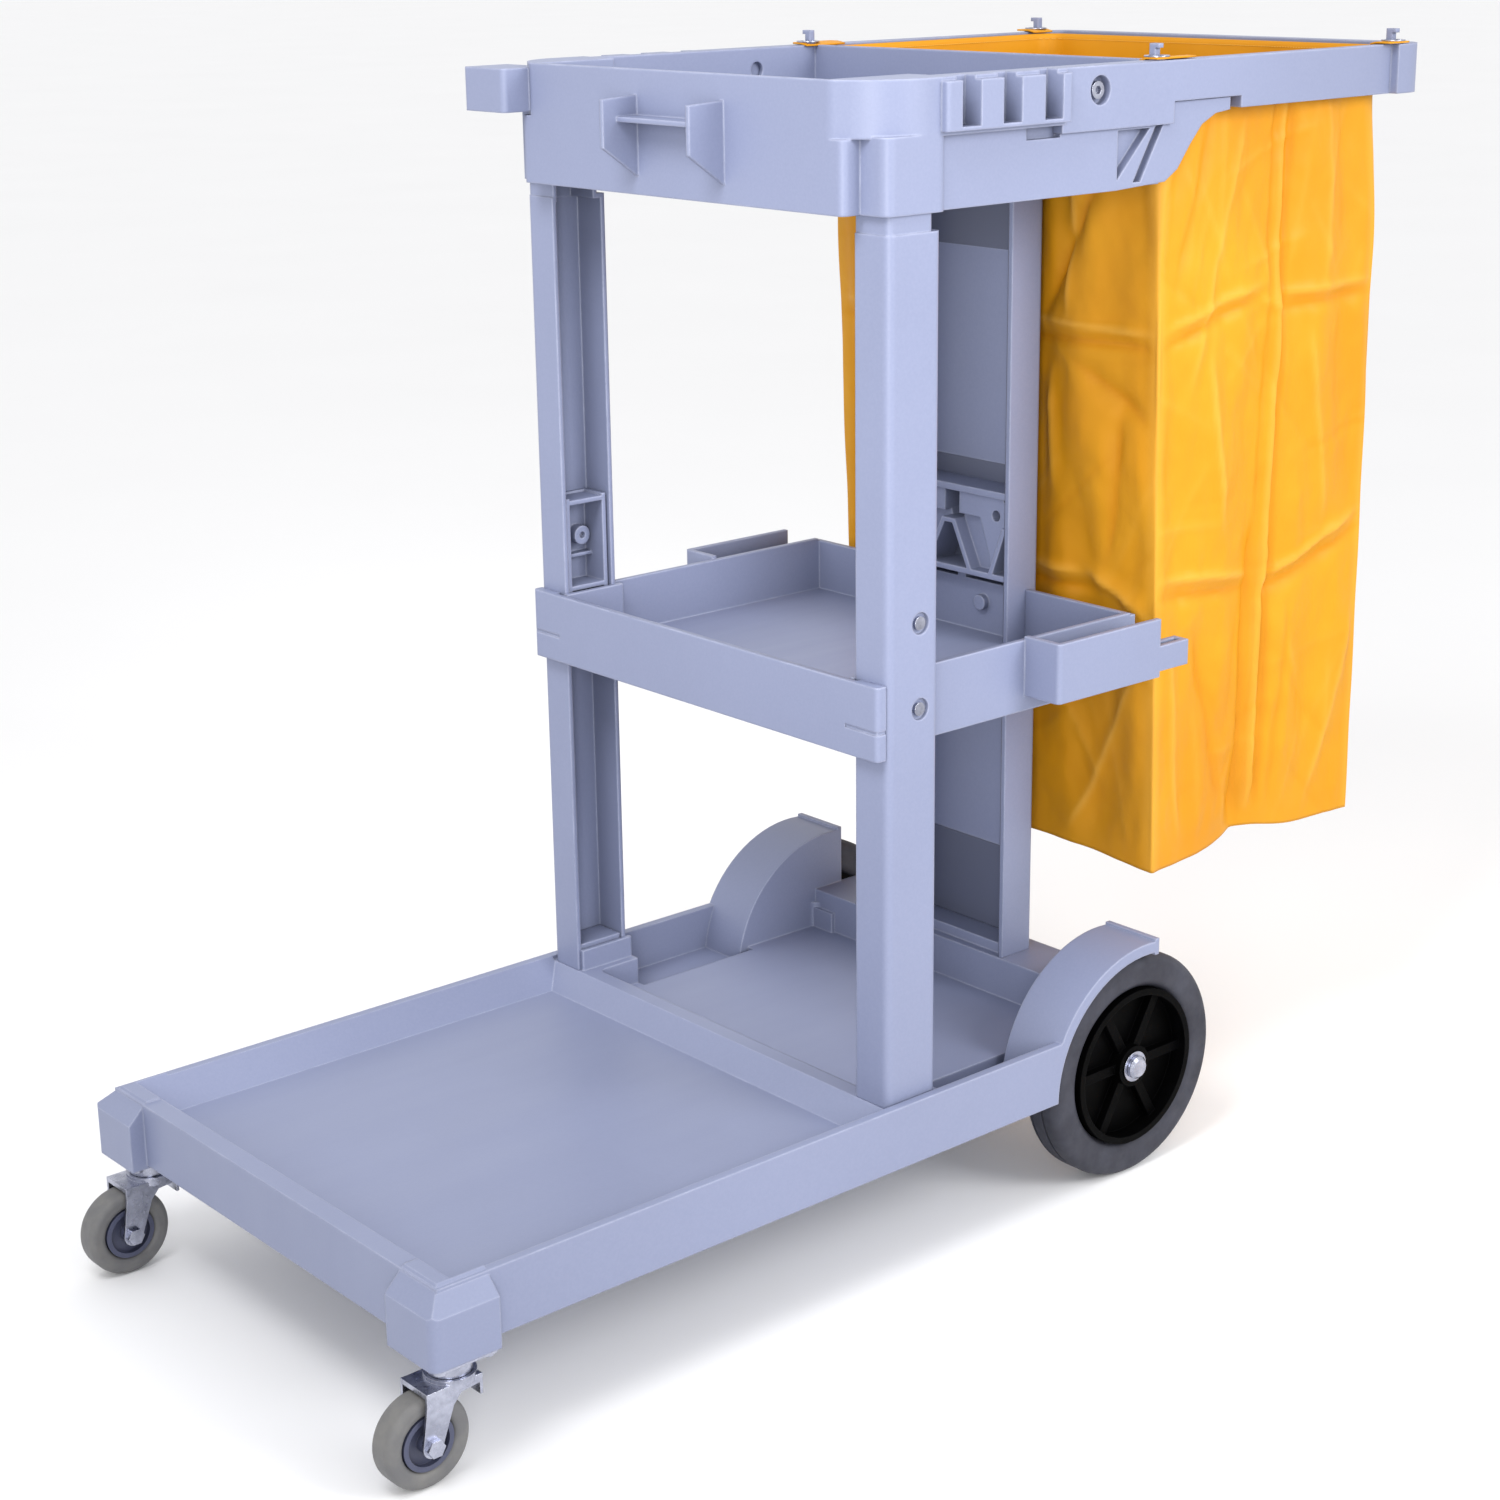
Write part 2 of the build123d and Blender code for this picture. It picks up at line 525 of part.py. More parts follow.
def caster_hub():
    x = CASTER_X - CASTER_TRAIL
    hub = rod_y(x, CASTER_Y - 11, CASTER_Y + 11, CASTER_R, 22)
    for side in (-1, 1):
        y = CASTER_Y + side * 11
        hub -= rod_y(x, y, y - side * 5, CASTER_R, 18)
    hub += rod_y(x, CASTER_Y - 14.1, CASTER_Y + 14.1, CASTER_R, 8)
    return hub - rod_y(x, 100, 300, CASTER_R, CASTER_AXLE_R + 0.08)


def hexagon(x, y0, y1, z, across):
    prism = extrude(RegularPolygon(across / 2, 6, major_radius=False), abs(y1 - y0))
    return Pos(x + NOSE, max(y0, y1), z) * Rot(90, 0, 0) * prism


def caster_axle():
    x = CASTER_X - CASTER_TRAIL
    bolt = rod_y(x, CASTER_Y - 21, CASTER_Y + 17, CASTER_R, CASTER_AXLE_R)
    bolt += hexagon(x, CASTER_Y + 17, CASTER_Y + 21.5, CASTER_R, 13)
    return bolt + hexagon(x, CASTER_Y - 21.5, CASTER_Y - 17, CASTER_R, 13)


def caster_screws():
    screws = []
    for x, y in caster_screw_spots():
        for side in (-1, 1):
            shank = rod_z(x, side * y, 96, 117, 2.5)
            screws.append(shank + rod_z(x, side * y, 95, 98, 4.8))
    return Compound(children=screws)


def shelf_screws():
    screws = []
    for side in (-1, 1):
        for z in SHELF_SCREW_Z:
            seat = side * (POST_OUT - HEAD_SINK)
            shank = rod_y(SHELF_SCREW_X, side * 212, seat, z, 3)
            screws.append(shank + rod_y(SHELF_SCREW_X, seat, side * (POST_OUT - 0.3), z, 5.5))
        shank = rod_x(775, REAR_POST_X1, side * REAR_SCREW_Y, REAR_SCREW_Z, 3)
        screws.append(shank + rod_x(772, 775, side * REAR_SCREW_Y, REAR_SCREW_Z, 4.6))
    return Compound(children=screws)


def frame_bolts():
    bolts = []
    for side in (-1, 1):
        seat = side * (RAIL_OUT - BOLT_SINK)
        top = side * (RAIL_OUT - 2.5)
        shank = rod_y(BOLT_X, side * 207, seat, BOLT_Z, 4)
        head = rod_y(BOLT_X, seat, top, BOLT_Z, 7) - hexagon(BOLT_X, top - side * 3.5, top, BOLT_Z, 6)
        bolts.append(shank + head)
    return Compound(children=bolts)


def left(shape):
    return mirror(shape, Plane.XZ)


def save(name, shape):
    shape.label = name
    export_step(shape, f"parts/{name}.step")


def save_pair(name, shape):
    save(f"{name}_right", shape)
    save(f"{name}_left", left(shape))


os.makedirs("parts", exist_ok=True)

save("base_platform", base_platform())
save_pair("front_post", front_post())
save("rear_post", rear_post())
save("middle_shelf", middle_shelf())
save("top_tray", top_tray())
save("bag_frame", bag_frame())
save("waste_bag", waste_bag())
save("bag_eyelets", bag_eyelets())
save("rear_axle", rod_y(WHEEL_X, -AXLE_END, AXLE_END, SKIRT_LOW, AXLE_R))
save("axle_nuts", Compound(children=[axle_nut(), left(axle_nut())]))
washers = [axle_washer(WHEEL_IN - 1), axle_washer(WHEEL_OUT + 0.3)]
save("axle_washers", Compound(children=washers + [left(w) for w in washers]))
save_pair("rear_tyre", rear_tyre())
save_pair("rear_hub", rear_hub())
save_pair("caster_plate", caster_plate())
save_pair("caster_kingpin", caster_kingpin())
save_pair("caster_fork", caster_fork())
save_pair("caster_axle", caster_axle())
save_pair("caster_tyre", caster_tyre())
save_pair("caster_hub", caster_hub())
save("caster_screws", caster_screws())
save("shelf_screws", shelf_screws())
save("frame_bolts", frame_bolts())
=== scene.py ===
"""Housekeeping cart: materials, the hanging waste bag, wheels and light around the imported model.

Metres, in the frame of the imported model: X along the cart to the bag, -Y the near side, Z up.
"""
from math import cos, exp, hypot, pi, radians, sin
from random import Random

import bmesh
import bpy
from mathutils import Matrix, Vector, noise

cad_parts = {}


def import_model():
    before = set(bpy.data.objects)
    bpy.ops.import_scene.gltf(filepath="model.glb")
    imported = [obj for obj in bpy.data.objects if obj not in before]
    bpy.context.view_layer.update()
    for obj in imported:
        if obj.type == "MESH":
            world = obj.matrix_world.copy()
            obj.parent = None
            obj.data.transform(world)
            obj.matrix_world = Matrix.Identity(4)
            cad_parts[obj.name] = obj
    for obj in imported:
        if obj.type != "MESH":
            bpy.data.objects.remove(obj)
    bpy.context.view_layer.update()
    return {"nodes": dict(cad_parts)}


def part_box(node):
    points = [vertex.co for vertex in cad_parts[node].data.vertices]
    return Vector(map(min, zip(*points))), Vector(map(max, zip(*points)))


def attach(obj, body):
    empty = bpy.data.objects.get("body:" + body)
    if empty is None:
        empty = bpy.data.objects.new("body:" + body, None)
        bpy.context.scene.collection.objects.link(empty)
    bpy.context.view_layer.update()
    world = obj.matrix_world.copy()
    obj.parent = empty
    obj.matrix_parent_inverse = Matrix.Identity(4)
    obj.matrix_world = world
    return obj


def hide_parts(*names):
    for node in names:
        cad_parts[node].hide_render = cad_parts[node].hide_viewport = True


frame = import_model()

PLASTIC_NODES = (
    "base_platform", "front_post_left", "front_post_right", "rear_post", "middle_shelf",
    "top_tray", "bag_frame",
)
ZINC_NODES = (
    "rear_axle", "axle_nuts", "axle_washers", "caster_screws", "shelf_screws", "frame_bolts",
    "caster_plate_left", "caster_plate_right", "caster_kingpin_left", "caster_kingpin_right",
    "caster_fork_left", "caster_fork_right", "caster_axle_left", "caster_axle_right",
)


# ---------------------------------------------------------------- materials

def srgb(r, g, b):
    """Linear colour of an 8-bit sRGB one."""
    def lin(c):
        c /= 255.0
        return c / 12.92 if c <= 0.04045 else ((c + 0.055) / 1.055) ** 2.4
    return (lin(r), lin(g), lin(b), 1.0)


class Nodes:
    """A node tree with short calls for the few nodes the materials use."""

    def __init__(self, name):
        self.mat = bpy.data.materials.new(name)
        self.mat.use_nodes = True
        self.tree = self.mat.node_tree
        self.tree.nodes.clear()
        out = self.tree.nodes.new("ShaderNodeOutputMaterial")
        self.bsdf = self.tree.nodes.new("ShaderNodeBsdfPrincipled")
        self.link(self.bsdf.outputs[0], out.inputs["Surface"])
        self.coord = self.tree.nodes.new("ShaderNodeTexCoord").outputs["Object"]

    def link(self, a, b):
        self.tree.links.new(a, b)

    def put(self, socket, value):
        if hasattr(value, "links"):
            self.link(value, socket)
        else:
            socket.default_value = value

    def stretched(self, scale, turn=(0.0, 0.0, 0.0)):
        m = self.tree.nodes.new("ShaderNodeMapping")
        m.inputs["Scale"].default_value = scale
        m.inputs["Rotation"].default_value = turn
        self.link(self.coord, m.inputs["Vector"])
        return m.outputs[0]

    def noise(self, scale, detail=3.0, rough=0.5, vector=None):
        n = self.tree.nodes.new("ShaderNodeTexNoise")
        n.inputs["Scale"].default_value = scale
        n.inputs["Detail"].default_value = detail
        n.inputs["Roughness"].default_value = rough
        self.link(vector or self.coord, n.inputs["Vector"])
        return n.outputs["Fac"]

    def crinkle(self, scale, vector=None):
        """Sharp ridges between flat facets, as in pressed and handled coated cloth."""
        n = self.tree.nodes.new("ShaderNodeTexNoise")
        n.noise_type = "RIDGED_MULTIFRACTAL"
        for key, v in (("Scale", scale), ("Detail", 4.0), ("Roughness", 0.45), ("Lacunarity", 2.2)):
            n.inputs[key].default_value = v
        self.link(vector or self.coord, n.inputs["Vector"])
        return n.outputs["Fac"]

    def corners(self, distance):
        """0 in the open, 1 deep in a corner or channel: where corners are painted darker as shade."""
        n = self.tree.nodes.new("ShaderNodeAmbientOcclusion")
        n.samples = 6
        n.inputs["Distance"].default_value = distance
        return self.remap(n.outputs["AO"], 0.55, 0.05, 0.0, 1.0)

    def inside(self, x_below, y_within):
        """1 on the faces inside the rear post's channel, 0 on its outer faces: where the channel is
        painted darker as shade.
        """
        n = self.tree.nodes.new("ShaderNodeSeparateXYZ")
        self.link(self.coord, n.inputs[0])
        ahead = self.math("LESS_THAN", n.outputs["X"], x_below)
        between = self.math("LESS_THAN", self.math("ABSOLUTE", n.outputs["Y"]), y_within)
        return self.math("MULTIPLY", ahead, between)

    def attribute(self, name):
        n = self.tree.nodes.new("ShaderNodeAttribute")
        n.attribute_name = name
        return n.outputs["Fac"]

    def wave(self, scale, direction, distortion=0.0, vector=None):
        n = self.tree.nodes.new("ShaderNodeTexWave")
        n.bands_direction = direction
        n.inputs["Scale"].default_value = scale
        n.inputs["Distortion"].default_value = distortion
        self.link(vector or self.coord, n.inputs["Vector"])
        return n.outputs["Fac"]

    def remap(self, value, a, b, lo, hi):
        n = self.tree.nodes.new("ShaderNodeMapRange")
        for key, v in (("From Min", a), ("From Max", b), ("To Min", lo), ("To Max", hi)):
            n.inputs[key].default_value = v
        self.link(value, n.inputs["Value"])
        return n.outputs[0]

    def math(self, op, a, b=0.0, c=None):
        n = self.tree.nodes.new("ShaderNodeMath")
        n.operation = op
        self.put(n.inputs[0], a)
        self.put(n.inputs[1], b)
        if c is not None:
            self.put(n.inputs[2], c)
        return n.outputs[0]

    def mix(self, fac, a, b, blend="MIX"):
        n = self.tree.nodes.new("ShaderNodeMix")
        n.data_type = "RGBA"
        n.blend_type = blend
        self.put(n.inputs["Factor"], fac)
        self.put(n.inputs["A"], a)
        self.put(n.inputs["B"], b)
        return n.outputs["Result"]

    def bump(self, height, strength, distance, normal=None):
        n = self.tree.nodes.new("ShaderNodeBump")
        n.inputs["Strength"].default_value = strength
        n.inputs["Distance"].default_value = distance
        self.link(height, n.inputs["Height"])
        if normal is not None:
            self.link(normal, n.inputs["Normal"])
        return n.outputs[0]

    def rounded(self, radius, samples=6):
        """Normals that run round the edges, and how near an edge a point is."""
        n = self.tree.nodes.new("ShaderNodeBevel")
        n.samples = samples
        n.inputs["Radius"].default_value = radius
        geo = self.tree.nodes.new("ShaderNodeNewGeometry")
        dot = self.tree.nodes.new("ShaderNodeVectorMath")
        dot.operation = "DOT_PRODUCT"
        self.link(n.outputs[0], dot.inputs[0])
        self.link(geo.outputs["Normal"], dot.inputs[1])
        edge = self.remap(dot.outputs["Value"], 1.0, 0.85, 0.0, 1.0)
        return n.outputs[0], edge

    def finish(self, **sockets):
        for key, value in sockets.items():
            self.put(self.bsdf.inputs[key.replace("_", " ")], value)
        return self.mat


def moulded_plastic(name, base, pale, radius, channel=None):
    n = Nodes(name)
    normal, edge = n.rounded(radius)
    cloud = n.remap(n.noise(3.2, 4.0, 0.55), 0.35, 0.65, 0.0, 1.0)
    streak = n.noise(9.0, 3.0, 0.6, n.stretched((0.35, 2.2, 1.0)))
    speck = n.noise(420.0, 2.0, 0.6)
    dark = tuple(c * 0.93 for c in base[:3]) + (1.0,)
    body = n.mix(cloud, dark, base)
    body = n.mix(n.remap(speck, 0.35, 0.7, 0.0, 0.05), body, pale)
    # Paler along the edges: partly wear, partly a painted highlight on the rounded edges.
    wear_and_edge_highlight = n.math("MULTIPLY", edge, n.remap(n.noise(38.0, 4.0, 0.6), 0.35, 0.7, 0.3, 0.8))
    colour = n.mix(wear_and_edge_highlight, body, pale)
    # Painted shade: a dark tone of the base colour, mixed in by the corner mask and the channel mask.
    painted_shade = tuple(c * 0.34 for c in base[:3]) + (1.0,)
    # Painted shade: corners darkened through the occlusion mask.
    colour = n.mix(n.math("MULTIPLY", n.corners(0.14), 0.62), colour, painted_shade)
    # Painted shade: the faces inside the rear post's channel painted darker still.
    if channel:
        colour = n.mix(n.math("MULTIPLY", n.inside(*channel), 0.8), colour, painted_shade)
    rough = n.math("ADD", n.remap(streak, 0.3, 0.7, 0.40, 0.50), n.remap(speck, 0.3, 0.7, -0.03, 0.03))
    grain = n.bump(n.noise(760.0, 2.0, 0.5), 0.16, 0.0004, normal)
    wave = n.bump(n.noise(16.0, 2.0, 0.4), 0.05, 0.004, grain)
    return n.finish(Base_Color=colour, Roughness=rough, Normal=wave)


def zinc(name):
    n = Nodes(name)
    normal, edge = n.rounded(0.0006)
    cloud = n.noise(90.0, 3.0, 0.6)
    colour = n.mix(n.remap(cloud, 0.35, 0.65, 0.0, 1.0), srgb(156, 159, 174), srgb(184, 187, 202))
    colour = n.mix(n.math("MULTIPLY", edge, 0.5), colour, srgb(214, 216, 226))
    rough = n.remap(n.noise(240.0, 3.0, 0.6), 0.3, 0.7, 0.22, 0.38)
    return n.finish(Base_Color=colour, Metallic=1.0, Roughness=rough,
                    Normal=n.bump(n.noise(620.0, 2.0), 0.10, 0.0003, normal))


def rubber(name, base, dusty, rough_low=0.62, radius=0.0012):
    n = Nodes(name)
    normal, edge = n.rounded(radius)
    dust = n.remap(n.noise(26.0, 5.0, 0.6), 0.42, 0.7, 0.0, 0.55)
    colour = n.mix(n.math("MAXIMUM", dust, n.math("MULTIPLY", edge, 0.35)), base, dusty)
    rough = n.remap(n.noise(130.0, 3.0), 0.3, 0.7, rough_low, rough_low + 0.14)
    return n.finish(Base_Color=colour, Roughness=rough,
                    Normal=n.bump(n.noise(900.0, 3.0), 0.22, 0.0004, normal))


def black_hub(name):
    n = Nodes(name)
    normal, edge = n.rounded(0.0010)
    smear = n.remap(n.noise(34.0, 4.0, 0.6), 0.4, 0.7, 0.0, 1.0)
    # Near-black, darker than real black plastic: the hub's own black with painted shade.
    colour = n.mix(smear, srgb(1, 1, 1), srgb(3, 3, 4))
    colour = n.mix(n.math("MULTIPLY", edge, 0.3), colour, srgb(12, 12, 15))
    return n.finish(Base_Color=colour, Roughness=n.remap(n.noise(60.0), 0.3, 0.7, 0.5, 0.64), IOR=1.12,
                    Normal=n.bump(n.noise(700.0, 2.0), 0.12, 0.0003, normal))


def coated_cloth(name, base, deep, pale):
    """Yellow cloth with a thin smooth coat, its weave just showing through, painted paler on fold ridges
    as highlight and darker in fold valleys as shade.
    """
    n = Nodes(name)
    cloud = n.remap(n.noise(5.0, 4.0, 0.6), 0.35, 0.68, 0.0, 1.0)
    colour = n.mix(n.math("MULTIPLY", cloud, 0.35), base, deep)
    fold = n.attribute("fold")
    # Painted highlight on fold ridges and painted shade in fold valleys.
    colour = n.mix(n.remap(fold, 0.0, 1.0, 0.0, 0.24), colour, pale)
    colour = n.mix(n.remap(fold, 0.0, -1.0, 0.0, 0.4), colour, deep)
    crush = n.crinkle(13.0, n.stretched((1.0, 1.0, 0.55), (0.25, 0.15, 0.0)))
    fine_crush = n.crinkle(42.0)
    # Painted highlight: paler on the crinkle ridges.
    colour = n.mix(n.remap(crush, 1.1, 1.9, 0.0, 0.30), colour, pale)
    warp = n.wave(330.0, "Z")
    weft_x = n.wave(330.0, "X")
    weft_y = n.wave(330.0, "Y")
    weft = n.math("MULTIPLY", n.math("ADD", weft_x, weft_y), 0.25)
    weave = n.math("ADD", n.math("MULTIPLY", warp, 0.5), weft)
    ripple = n.bump(crush, 0.45, 0.004)
    crumple = n.bump(fine_crush, 0.25, 0.0012, ripple)
    fine = n.bump(weave, 0.10, 0.0004, crumple)
    rough = n.remap(crush, 0.6, 1.6, 0.50, 0.40)
    return n.finish(Base_Color=colour, Roughness=rough, Normal=fine, IOR=1.30)


def thread(name):
    n = Nodes(name)
    twist = n.wave(900.0, "DIAGONAL")
    colour = n.mix(twist, srgb(214, 158, 44), srgb(230, 184, 84))
    return n.finish(Base_Color=colour, Roughness=0.7, Normal=n.bump(twist, 0.3, 0.0003))


GREY, PALE_WEAR_AND_HIGHLIGHT_GREY, EDGE_ROUND = srgb(129, 136, 164), srgb(178, 183, 207), 0.0026
# Bounds of the rear post's channel, whose inner faces get painted shade.
REAR_POST_SHADED_CHANNEL = (0.2436, 0.0728)
PLASTIC = moulded_plastic("cart_plastic", GREY, PALE_WEAR_AND_HIGHLIGHT_GREY, EDGE_ROUND)
SHADED_CHANNEL_PLASTIC = moulded_plastic("shaded_channel_plastic", GREY, PALE_WEAR_AND_HIGHLIGHT_GREY, EDGE_ROUND, REAR_POST_SHADED_CHANNEL)
ZINC = zinc("zinc_steel")
TYRE = rubber("tyre_rubber", srgb(40, 41, 52), srgb(66, 68, 80))
CASTER_TYRE = rubber("caster_rubber", srgb(100, 100, 102), srgb(132, 130, 124), 0.5, 0.0008)
HUB = black_hub("black_hub")
CASTER_HUB = moulded_plastic("caster_hub_plastic", srgb(70, 74, 98), srgb(110, 114, 136), 0.0006)
BAG_CLOTH = coated_cloth("yellow_coated_cloth", srgb(207, 144, 24), srgb(188, 106, 0), srgb(240, 194, 100))
THREAD = thread("yellow_thread")


def paint(node, mat):
    o = frame["nodes"][node]
    o.data.materials.clear()
    o.data.materials.append(mat)


for node in PLASTIC_NODES:
    paint(node, PLASTIC)
paint("rear_post", SHADED_CHANNEL_PLASTIC)
for node in ZINC_NODES:
    paint(node, ZINC)
for side in ("left", "right"):
    paint("rear_tyre_" + side, TYRE)
    paint("rear_hub_" + side, HUB)
    paint("caster_tyre_" + side, CASTER_TYRE)
    paint("caster_hub_" + side, CASTER_HUB)
paint("bag_eyelets", ZINC)


# ---------------------------------------------------------------- mesh helpers

def piece(name, bm, mat, body):
    me = bpy.data.meshes.new(name)
    bm.normal_update()
    bm.to_mesh(me)
    bm.free()
    for p in me.polygons:
        p.use_smooth = True
    o = bpy.data.objects.new(name, me)
    bpy.context.scene.collection.objects.link(o)
    me.materials.append(mat)
    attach(o, body)
    return o


def grid_faces(bm, rows, closed):
    """Quads between rows of vertices, each row closed on itself or open."""
    for low, high in zip(rows, rows[1:]):
        n = len(low)
        for i in range(n if closed else n - 1):
            j = (i + 1) % n
            bm.faces.new((low[i], low[j], high[j], high[i]))


# ---------------------------------------------------------------- the waste bag

bag_lo, bag_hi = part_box("waste_bag")
BAG_BOTTOM = bag_lo.z
BAG_TOP = bag_hi.z - 0.0044
TAB_Z = bag_hi.z - 0.0010
TOP_X, BOTTOM_X = (0.251, 0.545), (0.277, 0.558)
TOP_HALF, BOTTOM_HALF = 0.201, 0.195
CORNER_TOP, CORNER_BOTTOM = 0.020, 0.003
STEP = 0.0034
ROWS = 204


def smoothstep(a, b, x):
    t = min(max((x - a) / (b - a), 0.0), 1.0)
    return t * t * (3 - 2 * t)


def outline(t):
    """Points round the bag at height share t: (x, y, outward x, outward y, side, place -1..1)."""
    x0 = BOTTOM_X[0] + (TOP_X[0] - BOTTOM_X[0]) * t
    x1 = BOTTOM_X[1] + (TOP_X[1] - BOTTOM_X[1]) * t
    half = BOTTOM_HALF + (TOP_HALF - BOTTOM_HALF) * t
    r = CORNER_BOTTOM + (CORNER_TOP - CORNER_BOTTOM) * smoothstep(0.75, 1.0, t)
    long_n = round((TOP_X[1] - TOP_X[0]) / STEP)
    wide_n = round(2 * TOP_HALF / STEP)
    corners = ((x1 - r, -half + r, -90), (x1 - r, half - r, 0),
               (x0 + r, half - r, 90), (x0 + r, -half + r, 180))
    sides = (("near", long_n), ("rear", wide_n), ("far", long_n), ("front", wide_n))
    pts = []
    for k, (side, n) in enumerate(sides):
        ax, ay, _ = corners[k - 1]
        bx, by, b0 = corners[k]
        nx, ny = cos(radians(b0)), sin(radians(b0))
        start = Vector((ax + r * nx, ay + r * ny))
        end = Vector((bx + r * nx, by + r * ny))
        for i in range(n + 1):
            p = start.lerp(end, i / n)
            pts.append((p.x, p.y, nx, ny, side, -1 + 2 * i / n))
        for i in range(1, 4):
            a = radians(b0 + 90 * i / 4)
            pts.append((bx + r * cos(a), by + r * sin(a), cos(a), sin(a), "corner", float(k)))
    return pts


# Creases: side, (place, height share) of both ends, depth in metres (out is +), width.
CREASES = (
    ("near", (0.12, 0.99), (0.06, 0.40), 0.0026, 0.006),
    ("near", (0.19, 0.99), (0.13, 0.42), -0.0026, 0.006),
    ("near", (0.04, 0.99), (-0.02, 0.42), -0.0020, 0.006),
    ("near", (0.04, 0.42), (0.02, 0.02), 0.0062, 0.008),
    ("near", (-0.06, 0.42), (-0.08, 0.02), -0.0034, 0.008),
    ("near", (0.13, 0.42), (0.11, 0.02), -0.0028, 0.007),
    ("near", (-0.92, 0.67), (-0.10, 0.71), -0.0030, 0.010),
    ("near", (-0.10, 0.71), (0.14, 0.69), 0.0022, 0.010),
    ("near", (0.14, 0.69), (0.98, 0.70), -0.0026, 0.012),
    ("near", (-0.95, 0.36), (-0.10, 0.34), -0.0034, 0.014),
    ("near", (0.06, 0.33), (0.95, 0.39), -0.0036, 0.016),
    ("near", (-0.92, 0.688), (-0.10, 0.728), 0.0022, 0.007),
    ("near", (0.14, 0.708), (0.98, 0.718), 0.0022, 0.007),
    ("near", (-0.95, 0.380), (-0.10, 0.360), 0.0028, 0.008),
    ("near", (0.06, 0.352), (0.95, 0.412), 0.0028, 0.008),
    ("near", (-0.60, 0.97), (-0.85, 0.74), -0.0024, 0.012),
    ("near", (-0.30, 0.93), (-0.72, 0.62), 0.0018, 0.016),
    ("near", (-0.55, 0.64), (-0.42, 0.44), 0.0026, 0.018),
    ("near", (-0.62, 0.30), (-0.30, 0.06), -0.0024, 0.016),
    ("near", (-0.90, 0.30), (-0.72, 0.04), 0.0022, 0.014),
    ("near", (0.55, 0.97), (0.50, 0.72), 0.0016, 0.018),
    ("near", (0.40, 0.66), (0.60, 0.42), 0.0018, 0.020),
    ("near", (0.30, 0.30), (0.22, 0.04), -0.0022, 0.014),
    ("near", (0.95, 0.28), (0.60, 0.03), 0.0020, 0.016),
    ("front", (0.95, 0.97), (0.35, 0.70), -0.0060, 0.018),
    ("front", (0.62, 0.92), (0.50, 0.70), 0.0030, 0.014),
    ("front", (-0.95, 0.66), (0.96, 0.665), -0.0034, 0.010),
    ("front", (-0.95, 0.680), (0.96, 0.685), 0.0028, 0.007),
    ("front", (-0.95, 0.380), (0.55, 0.370), 0.0030, 0.008),
    ("front", (0.55, 0.64), (0.93, 0.58), -0.0050, 0.020),
    ("front", (0.36, 0.62), (0.40, 0.48), 0.0040, 0.016),
    ("front", (0.80, 0.58), (0.72, 0.40), -0.0042, 0.018),
    ("front", (-0.95, 0.36), (0.60, 0.35), -0.0036, 0.012),
    ("front", (0.60, 0.38), (0.97, 0.33), 0.0046, 0.016),
    ("front", (0.10, 0.60), (0.05, 0.40), -0.0030, 0.022),
    ("front", (-0.50, 0.95), (-0.30, 0.68), 0.0034, 0.022),
    ("front", (0.0, 0.30), (0.1, 0.04), -0.0030, 0.024),
    ("front", (0.90, 0.25), (0.45, 0.02), 0.0030, 0.018),
    ("rear", (-0.95, 0.68), (0.95, 0.67), -0.0030, 0.010),
    ("rear", (-0.95, 0.36), (0.95, 0.35), -0.0032, 0.012),
    ("rear", (-0.90, 0.95), (-0.40, 0.72), 0.0030, 0.016),
    ("rear", (0.85, 0.93), (0.30, 0.70), -0.0030, 0.018),
    ("rear", (0.1, 0.64), (0.0, 0.40), 0.0030, 0.024),
    ("rear", (-0.5, 0.32), (-0.6, 0.05), 0.0026, 0.018),
    ("rear", (0.5, 0.30), (0.35, 0.04), -0.0026, 0.018),
    ("far", (0.02, 0.99), (0.00, 0.42), 0.0030, 0.007),
    ("far", (0.02, 0.42), (0.00, 0.02), 0.0056, 0.008),
    ("far", (-0.95, 0.69), (0.95, 0.68), -0.0030, 0.011),
    ("far", (-0.95, 0.36), (0.95, 0.38), -0.0034, 0.013),
    ("far", (-0.7, 0.95), (-0.3, 0.72), 0.0024, 0.016),
    ("far", (0.6, 0.62), (0.45, 0.42), -0.0024, 0.018),
    ("far", (-0.45, 0.32), (-0.6, 0.05), 0.0024, 0.018),
)
SIDE_HALF = {"near": 0.145, "far": 0.145, "front": 0.1975, "rear": 0.1975}
SIDE_SEED = {"near": 3.1, "far": 11.7, "front": 23.9, "rear": 37.3}
SMALL_CREASES = 64
BAG_DEEP = BAG_TOP - BAG_BOTTOM


def small_creases(side):
    """Short creases all over a side, most of them upright, as folding and handling leave."""
    dice = Random(SIDE_SEED[side])
    half = SIDE_HALF[side]
    made = []
    for _ in range(SMALL_CREASES):
        x, z = dice.uniform(-half, half), dice.uniform(0.0, BAG_DEEP)
        leans = (dice.gauss(0, 12), dice.gauss(38, 12), dice.gauss(-38, 12), dice.gauss(84, 8))
        lean = radians(dice.choice(leans))
        reach = dice.uniform(0.02, 0.075)
        depth = dice.choice((-1, 1)) * dice.uniform(0.0004, 0.0013)
        dx, dz = reach * sin(lean), reach * cos(lean)
        made.append((x - dx, z - dz, x + dx, z + dz, depth, dice.uniform(0.0035, 0.010)))
    return made


def creases_of(side):
    half = SIDE_HALF[side]
    made = [(a[0] * half, a[1] * BAG_DEEP, b[0] * half, b[1] * BAG_DEEP, 1.5 * depth, 0.55 * width)
            for name, a, b, depth, width in CREASES if name == side]
    return made + small_creases(side)


SIDE_CREASES = {side: creases_of(side) for side in SIDE_HALF}


